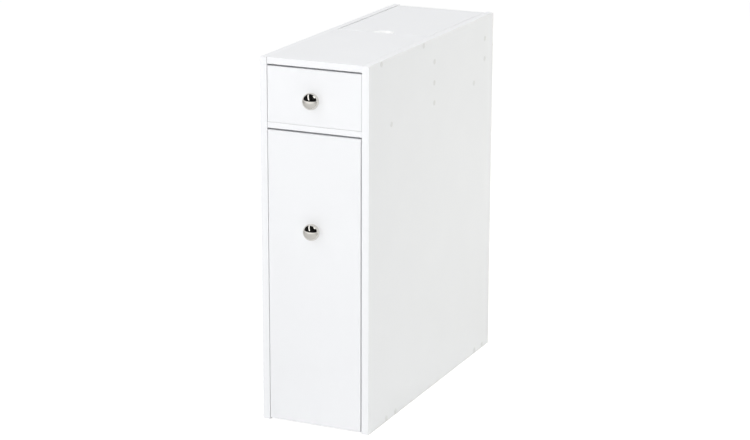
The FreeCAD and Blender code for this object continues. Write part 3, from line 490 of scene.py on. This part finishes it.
# %% [markdown]
# ## Where the round pieces are
# A CAD node can hold many solids, such as all the caps. Smoother pieces have to stand exactly where the
# solids stand, so the solids are told apart first. Every corner starts with a label of its own, and joined
# corners take the smaller of their labels again and again, until each solid has a single label.

# %% Solids of a CAD node
CORNER_DECIMALS = 6


def solids(name):
    """Points of each solid of a CAD node: equal corners are merged, then joined corners share a label."""
    mesh = nodes[name].data
    raw = np.empty(len(mesh.vertices) * 3)
    mesh.vertices.foreach_get("co", raw)
    ends = np.empty(len(mesh.edges) * 2, dtype=int)
    mesh.edges.foreach_get("vertices", ends)
    rounded = raw.reshape(-1, 3).round(CORNER_DECIMALS)
    points, merged = np.unique(rounded, axis=0, return_inverse=True)
    ends = merged.ravel()[ends].reshape(-1, 2)
    label = np.arange(len(points))
    before = None
    while before is None or (label != before).any():
        before = label.copy()
        lowest = label[ends].min(axis=1)
        np.minimum.at(label, ends[:, 0], lowest)
        np.minimum.at(label, ends[:, 1], lowest)
    return [points[label == one] for one in np.unique(label)]


print("screw caps:", len(solids("screw_caps")))

# %% [markdown]
# ## Turned surfaces
# Knobs, caps, screws and cams are profiles turned about an axis. The profile is a list of radii and heights,
# and a grid of profile points by angles holds the whole surface, so numpy works it out at once. A point of
# zero radius closes the surface at its pole. Many grids can share one mesh, which stands in for one CAD node.

# %% Grids turned about an axis
SHARP = math.radians(35)
MERGE_MM = 0.002


def turned_grid(radius, height, angles):
    """Points (r cos a, r sin a, h) for every profile point and every angle, in rows and columns."""
    turn = np.linspace(0, 2 * np.pi, angles, endpoint=False)
    x = radius[:, None] * np.cos(turn)
    y = radius[:, None] * np.sin(turn)
    return np.stack([x, y, np.broadcast_to(height[:, None], x.shape)], axis=-1)


def grid_faces(rows, columns):
    """Quads between neighbouring rows, with the last column joined to the first."""
    row, column = np.meshgrid(np.arange(rows - 1), np.arange(columns), indexing="ij")
    after = (column + 1) % columns
    here = row * columns
    above = (row + 1) * columns
    return np.stack([here + column, here + after, above + after, above + column], axis=-1).reshape(-1, 4)


def stand_up(grid, base, axis, way):
    """Turns a grid so that its height runs from a base point along one axis, forwards or backwards."""
    across = [i for i in range(3) if i != axis]
    placed = np.empty_like(grid)
    placed[..., axis] = base[axis] + way * grid[..., 2]
    placed[..., across[0]] = base[across[0]] + grid[..., 0]
    placed[..., across[1]] = base[across[1]] + grid[..., 1]
    return placed


def surface(name, grids, material, cad_name, body):
    """Makes one smooth mesh piece from grids, closes its poles, and lets it stand in for a CAD node."""
    rows, columns = grids[0].shape[:2]
    points = np.stack(grids).reshape(-1, 3)
    starts = np.arange(len(grids))[:, None, None] * rows * columns
    faces = (grid_faces(rows, columns) + starts).reshape(-1, 4)
    mesh = bpy.data.meshes.new(name)
    mesh.from_pydata(points.tolist(), [], faces.tolist())
    piece = bpy.data.objects.new(name, mesh)
    bpy.context.scene.collection.objects.link(piece)
    bpy.context.view_layer.objects.active = piece
    bpy.ops.object.select_all(action="DESELECT")
    piece.select_set(True)
    bpy.ops.object.mode_set(mode="EDIT")
    bpy.ops.mesh.select_all(action="SELECT")
    bpy.ops.mesh.remove_doubles(threshold=MERGE_MM * MM)
    bpy.ops.mesh.normals_make_consistent(inside=False)
    bpy.ops.object.mode_set(mode="OBJECT")
    mesh.shade_smooth()
    mesh.set_sharp_from_angle(angle=SHARP)
    mesh.materials.append(material)
    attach(piece, body)
    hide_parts(cad_name)
    print(name, "pieces:", len(grids), "faces:", len(mesh.polygons))
    return piece


print("edges stay sharp above", round(math.degrees(SHARP)), "degrees")

# %% [markdown]
# ## The chrome knobs
# Each knob is a slightly flat ball that sits almost straight on the front, on a low collar. A mirror shows
# every facet, so the ball is turned again from a fine profile: part of an ellipse, which stops where the ball
# is as narrow as its collar. A photographer lights so small a mirror from all round, and it throws hardly any
# shadow on the front. Letting the lamps pass the knobs by comes close to that.

# %% Ball knobs
COLLAR_SHARE = 0.564
HALF_SHARE = 0.797
KNOB_RINGS = 120
KNOB_ANGLES = 160


def ball_knob(name, body):
    """Ball and collar in one profile: R cos t across and H sin t along down to the collar, then straight."""
    low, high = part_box(name)
    ball = (high.x - low.x) / 2
    half = HALF_SHARE * ball
    centre = high.y - low.y - half
    angle = np.linspace(np.pi / 2, -math.acos(COLLAR_SHARE), KNOB_RINGS)
    collar = COLLAR_SHARE * ball
    radius = np.concatenate([ball * np.cos(angle), [collar, 0]])
    height = np.concatenate([centre + half * np.sin(angle), [0, 0]])
    base = ((low.x + high.x) / 2, high.y, (low.z + high.z) / 2)
    grid = stand_up(turned_grid(radius, height, KNOB_ANGLES), base, AXES.index("Y"), -1)
    piece = surface(f"{name}_ball", [grid], chrome, name, body)
    piece.visible_shadow = False


ball_knob("upper_knob", "upper_drawer")
ball_knob("lower_knob", "lower_pullout")

# %% [markdown]
# ## The screw caps
# A moulded cap isn't a flat disc. It swells softly and its rim turns down to the panel, so its edge shows as
# a thin curved shade and not as a hard ring. Behind it a short plug sits in the screw hole. The radii and
# depths are read off the CAD solid: points near its largest radius belong to the rim.

# %% Moulded caps
CAP_BULGE = 2.6
CAP_RINGS = 14
CAP_ANGLES = 40
RIM_SHARE = 0.97


def moulded_cap(points):
    """A rounded disc, height (1 - s ^ n) ^ (1 / n) at a share s of its radius, with a plug behind it."""
    low, high = points.min(axis=0), points.max(axis=0)
    middle = (low + high) / 2
    way = np.sign(middle[0])
    spread = np.hypot(*(points - middle)[:, 1:].T)
    rim = spread.max()
    seat = np.abs(points[spread > rim * RIM_SHARE, 0]).min()
    proud = np.abs(points[:, 0]).max() - seat
    plug = seat - np.abs(points[:, 0]).min()
    plug_radius = spread[np.abs(points[:, 0]) < seat - plug / 2].max()
    share = np.sin(np.linspace(0, np.pi / 2, CAP_RINGS))
    dome = proud * (1 - share ** CAP_BULGE) ** (1 / CAP_BULGE)
    radius = np.concatenate([rim * share, [plug_radius, plug_radius, 0]])
    height = np.concatenate([dome, [0, -plug, -plug]])
    grid = turned_grid(radius, height, CAP_ANGLES)
    return stand_up(grid, (way * seat, middle[1], middle[2]), AXES.index("X"), way)


caps = [moulded_cap(cap) for cap in solids("screw_caps")]
surface("moulded_caps", caps, cap_plastic, "screw_caps", "carcass")

# %% [markdown]
# ## Cross recess screws
# Screws show when a drawer is out. Each CAD screw is a plain disc on a rod, so its head is worked out again:
# a low dome, lowered in the shape of a cross for the driver. The dome falls off with the square of the
# radius, and the cross is where one of the two sideways distances is small and the other stays inside the
# arm. No two screws stop at the same angle, so each cross is turned on from the last by the golden angle.

# %% Screws with a cross in the head
HEAD_RINGS = 26
HEAD_ANGLES = 64
ARM_SHARE = 0.6
ARM_WIDTH_SHARE = 0.13
CROSS_DEPTH_SHARE = 0.55
CROWN_SHARE = 0.35
TAIL_SHARE = 0.9
GOLDEN_ANGLE = math.pi * (3 - math.sqrt(5))


def step_down(distance, edge, softness):
    """1 well inside an edge and 0 well outside it, with a straight ramp between."""
    return np.clip((edge - distance) / softness + 0.5, 0, 1)


def cross_share(face, rim, turn):
    """1 in the arms of a turned cross: one of its sideways distances is small, the other inside the arm."""
    first = face[..., 0] * np.cos(turn) + face[..., 1] * np.sin(turn)
    second = face[..., 1] * np.cos(turn) - face[..., 0] * np.sin(turn)
    near = np.minimum(np.abs(first), np.abs(second))
    far = np.maximum(np.abs(first), np.abs(second))
    width = rim * ARM_WIDTH_SHARE
    return step_down(near, width, width) * step_down(far, rim * ARM_SHARE, width)


def cross_screw(points, turn):
    """A domed head with a cross sunk into it, on a plain shank with a pointed end."""
    low, high = points.min(axis=0), points.max(axis=0)
    middle = (low + high) / 2
    axis = int(np.argmax(high - low))
    spread = np.linalg.norm(np.delete(points - middle, axis, axis=1), axis=1)
    rim = spread.max()
    head = points[spread > rim * RIM_SHARE, axis]
    way = np.sign(head.mean() - middle[axis])
    top = head.max() if way > 0 else head.min()
    thick = np.ptp(head)
    length = high[axis] - low[axis]
    shank = spread[np.abs(points[:, axis] - top) > length * TAIL_SHARE].max()
    share = np.linspace(0, 1, HEAD_RINGS)
    radius = np.concatenate([rim * share, [rim, shank, shank, 0]])
    fall = thick * CROWN_SHARE * share ** 2
    height = np.concatenate([-fall, [-thick, -thick, shank - length, -length]])
    grid = turned_grid(radius, height, HEAD_ANGLES)
    grid[:HEAD_RINGS, :, 2] -= cross_share(grid[:HEAD_RINGS], rim, turn) * thick * CROSS_DEPTH_SHARE
    base = middle.copy()
    base[axis] = top
    return stand_up(grid, base, axis, way)


SCREWS = {
    "runner_screws": "carcass",
    "upper_drawer_member_screws": "upper_drawer",
    "upper_drawer_screws": "upper_drawer",
    "upper_knob_screw": "upper_drawer",
    "lower_pullout_member_screws": "lower_pullout",
    "lower_pullout_screws": "lower_pullout",
    "lower_knob_screw": "lower_pullout",
}
for name, body in SCREWS.items():
    heads = [cross_screw(screw, GOLDEN_ANGLE * i) for i, screw in enumerate(solids(name))]
    surface(f"{name}_cross", heads, zinc_plate, name, body)

# %% [markdown]
# ## Cams
# A cam is a cast drum, flush in the inner face of a drawer side. Turned with a screwdriver, it pulls the bolt
# of the front tight. The same cross is sunk into its flat face, and a small chamfer breaks its rim. Behind
# the face the drum is a hollow cup, as castings are, with room for the end of the bolt.

# %% Cams with a cross in the face
CAM_RINGS = 36
CAM_ANGLES = 96
CAM_FACE_SHARE = 0.28
CAM_BORE_SHARE = 0.8
CAM_CHAMFER_SHARE = 0.06


def cross_cam(points, turn):
    """A cup in one profile: flat face, chamfer, wall and hollow, with a cross sunk into the face."""
    low, high = points.min(axis=0), points.max(axis=0)
    middle = (low + high) / 2
    inwards = -np.sign(middle[0])
    deep = high[0] - low[0]
    rim = (high[2] - low[2]) / 2
    face = deep * CAM_FACE_SHARE
    bore = rim * CAM_BORE_SHARE
    chamfer = rim * CAM_CHAMFER_SHARE
    radius = np.concatenate([np.linspace(0, rim - chamfer, CAM_RINGS), [rim, rim, bore, bore, 0]])
    height = np.concatenate([np.zeros(CAM_RINGS), [-chamfer, -deep, -deep, -face, -face]])
    grid = turned_grid(radius, height, CAM_ANGLES)
    grid[:CAM_RINGS, :, 2] -= cross_share(grid[:CAM_RINGS], rim, turn) * face * CROSS_DEPTH_SHARE
    base = (middle[0] + inwards * deep / 2, middle[1], middle[2])
    return stand_up(grid, base, AXES.index("X"), inwards)


CAMS = {"upper_drawer_cams": "upper_drawer", "lower_pullout_cams": "lower_pullout"}
for name, body in CAMS.items():
    drums = [cross_cam(cam, GOLDEN_ANGLE * i) for i, cam in enumerate(solids(name), start=1)]
    surface(f"{name}_cross", drums, die_cast, name, body)

# %% [markdown]
# ## Studio: world and floor
# The background of a catalogue picture is plain white. The world shows white to the camera and to mirrors,
# and lights the boards at a plainer level. A Light Path node tells which kind of ray is asking.

# %% World
AMBIENT = 0.2
WHITE = "#FFFFFF"

world = bpy.data.worlds.new("white_room")
bpy.context.scene.world = world
world.use_nodes = True
tree = world.node_tree
path = node(tree, "ShaderNodeLightPath", {}).outputs
seen = either(tree, [path[kind] for kind in ("Is Camera Ray", "Is Glossy Ray", "Is Transmission Ray")])
level = {"Value": seen, "To Min": AMBIENT, "To Max": 1.0}
strength = node(tree, "ShaderNodeMapRange", level).outputs["Result"]
background = tree.nodes["Background"]
background.inputs["Color"].default_value = linear(WHITE)
tree.links.new(strength, background.inputs["Strength"])
print("ambient level:", AMBIENT)

# %% [markdown]
# The floor is a sweep of white paper and does the same trick, but part of what the camera sees there is real
# reflected light, so the shadow under the cabinet stays. Mirrors see the floor as it is, apart from its far
# front, which has to be as bright there as the white behind it.

# %% Floor
FLOOR_SIDE = 30.0
FLOOR_GLOW = 0.86
NEAR_FLOOR = -1.2
FAR_FLOOR = -3.5
PAPER_TONE = "#E7E7E7"
SHADOW_TONE = "#B4B4B4"

corners = np.array([(-1, -1, 0), (1, -1, 0), (1, 1, 0), (-1, 1, 0)]) * FLOOR_SIDE / 2
floor_mesh = bpy.data.meshes.new("floor")
floor_mesh.from_pydata(corners.tolist(), [], [(0, 1, 2, 3)])
floor = bpy.data.objects.new("floor", floor_mesh)
bpy.context.scene.collection.objects.link(floor)

material = bpy.data.materials.new("white_paper_sweep")
material.use_nodes = True
tree = material.node_tree
tree.nodes.remove(tree.nodes["Principled BSDF"])
path = node(tree, "ShaderNodeLightPath", {}).outputs
place = node(tree, "ShaderNodeTexCoord", {}).outputs["Object"]
ahead = node(tree, "ShaderNodeSeparateXYZ", {"Vector": place}).outputs["Y"]
reach = {"Value": ahead, "From Min": NEAR_FLOOR, "From Max": FAR_FLOOR}
far = node(tree, "ShaderNodeMapRange", reach).outputs["Result"]
mirrored = node(tree, "ShaderNodeMath", {0: far, 1: path["Is Glossy Ray"]}, operation="MULTIPLY").outputs[0]
seen = either(tree, [path["Is Camera Ray"], path["Is Transmission Ray"], mirrored])
paper = node(tree, "ShaderNodeBsdfDiffuse", {"Color": linear(PAPER_TONE)}).outputs[0]
faint = node(tree, "ShaderNodeBsdfDiffuse", {"Color": linear(SHADOW_TONE)}).outputs[0]
glow = node(tree, "ShaderNodeEmission", {"Color": linear(WHITE), "Strength": FLOOR_GLOW}).outputs[0]
shown = node(tree, "ShaderNodeAddShader", {0: faint, 1: glow}).outputs[0]
both = node(tree, "ShaderNodeMixShader", {0: seen, 1: paper, 2: shown}).outputs[0]
tree.links.new(both, tree.nodes["Material Output"].inputs["Surface"])
floor_mesh.materials.append(material)
print("floor side in m:", FLOOR_SIDE)

# %% [markdown]
# ## Studio: lamps
# A large panel above the camera lights the front, one on the right lights the long side, and one behind
# lights the top. Mirrors don't show these three, and the one on the right has a trace of warmth. Two boxes
# overhead show as white windows in the chrome. The watts follow from the light wanted on a facing board: P
# watts at d metres give P / (pi d) ^ 2 of the light of a white sky.

# %% Lamps
def soft_box(name, direction, distance, size, light, tint, in_mirrors):
    """An area lamp at a distance from the middle of the cabinet, aimed at it, its length along the depth."""
    lamp = bpy.data.lights.new(name, "AREA")
    lamp.shape = "RECTANGLE"
    lamp.size, lamp.size_y = size
    lamp.energy = light * (math.pi * distance) ** 2
    lamp.color = linear(tint)[:3]
    target = (cad_low + cad_high) / 2
    away = Vector(direction).normalized()
    across = Vector((0, 1, 0)).cross(away).normalized()
    turn = Matrix((across, away.cross(across), away)).transposed().to_4x4()
    box = bpy.data.objects.new(name, lamp)
    box.matrix_world = Matrix.Translation(target + away * distance) @ turn
    box.visible_glossy = in_mirrors
    bpy.context.scene.collection.objects.link(box)
    print(name, "watts:", round(lamp.energy, 1))


# Name, direction from the cabinet, distance and sides in metres, light, tint, and whether mirrors show it.
WARM_WHITE = "#FFFFF8"
LAMPS = (
    ("front_key", (0.05, -0.8, 0.6), 3.5, (4.6, 4.6), 0.97, WHITE, False),
    ("right_fill", (0.8, 0.5, 0.0), 2.7, (1.4, 1.4), 0.53, WARM_WHITE, False),
    ("rear_top", (0.1, 0.55, 0.83), 2.6, (1.6, 1.6), 0.24, WHITE, False),
    ("overhead_strip", (-0.38, -0.57, 0.73), 2.9, (0.55, 4.2), 0.15, WHITE, True),
    ("overhead_right", (0.55, -0.09, 0.83), 2.9, (1.2, 1.2), 0.085, WHITE, True),
)
for lamp in LAMPS:
    soft_box(*lamp)

# %% [markdown]
# ## Studio: a dark canopy
# A mirror in a white room looks like white paint. Photographers hang dark cloth above and in front of a
# chrome piece, so that it has something to reflect. This canopy is a dome that only mirrors see: it casts no
# shadow and takes no light from the boards. Where a board sees it in a knob, it is clear, so that the front
# stays white round the knob. Its uneven tone breaks the dark up, as a real room would.

# %% Dome of the canopy
CANOPY_RADIUS = 7.0
FRONT_RISE = math.radians(6)
BACK_RISE = math.radians(50)
SIDE_SHARE = 0.9
EDGE_SWING = 1.5
CANOPY_STEPS = 48


def canopy_grid(radius, steps):
    """A dome from its edge up to its top. The edge rises with the cosine of the turn, from front to back."""
    turn = np.linspace(0, 2 * np.pi, steps, endpoint=False)
    low_share = np.clip(SIDE_SHARE + EDGE_SWING * np.cos(turn), 0, 1)
    edge = BACK_RISE + (FRONT_RISE - BACK_RISE) * low_share
    rise = edge + (np.pi / 2 - edge) * np.linspace(0, 1, steps)[:, None]
    flat = radius * np.cos(rise)
    return np.stack([flat * np.sin(turn), -flat * np.cos(turn), radius * np.sin(rise)], axis=-1)


points = canopy_grid(CANOPY_RADIUS, CANOPY_STEPS)
quads = grid_faces(CANOPY_STEPS, CANOPY_STEPS)
canopy_mesh = bpy.data.meshes.new("dark_canopy")
canopy_mesh.from_pydata(points.reshape(-1, 3).tolist(), [], quads.tolist())
canopy = bpy.data.objects.new("dark_canopy", canopy_mesh)
bpy.context.scene.collection.objects.link(canopy)
canopy.visible_camera = False
canopy.visible_diffuse = False
canopy.visible_shadow = False
canopy.visible_transmission = False
print("canopy faces:", len(canopy_mesh.polygons))

# %% Cloth of the canopy
FOLD_MM = 2500.0
CLOTH_TONES = ("#000000", "#505050")
CLOTH_ROUGH = (0.9, 1.0)
DULL = {"Specular IOR Level": 0.0}

cloth = speckled("hung_dark_cloth", FOLD_MM, CLOTH_TONES, CLOTH_ROUGH, 0.0, DULL)
tree = cloth.node_tree
after_board = node(tree, "ShaderNodeLightPath", {}).outputs["Diffuse Depth"]
clear = node(tree, "ShaderNodeBsdfTransparent", {}).outputs[0]
dark = tree.nodes["Principled BSDF"].outputs[0]
hung = node(tree, "ShaderNodeMixShader", {0: after_board, 1: dark, 2: clear}).outputs[0]
tree.links.new(hung, tree.nodes["Material Output"].inputs["Surface"])
canopy_mesh.materials.append(cloth)
print("folds of", FOLD_MM * MM, "m")
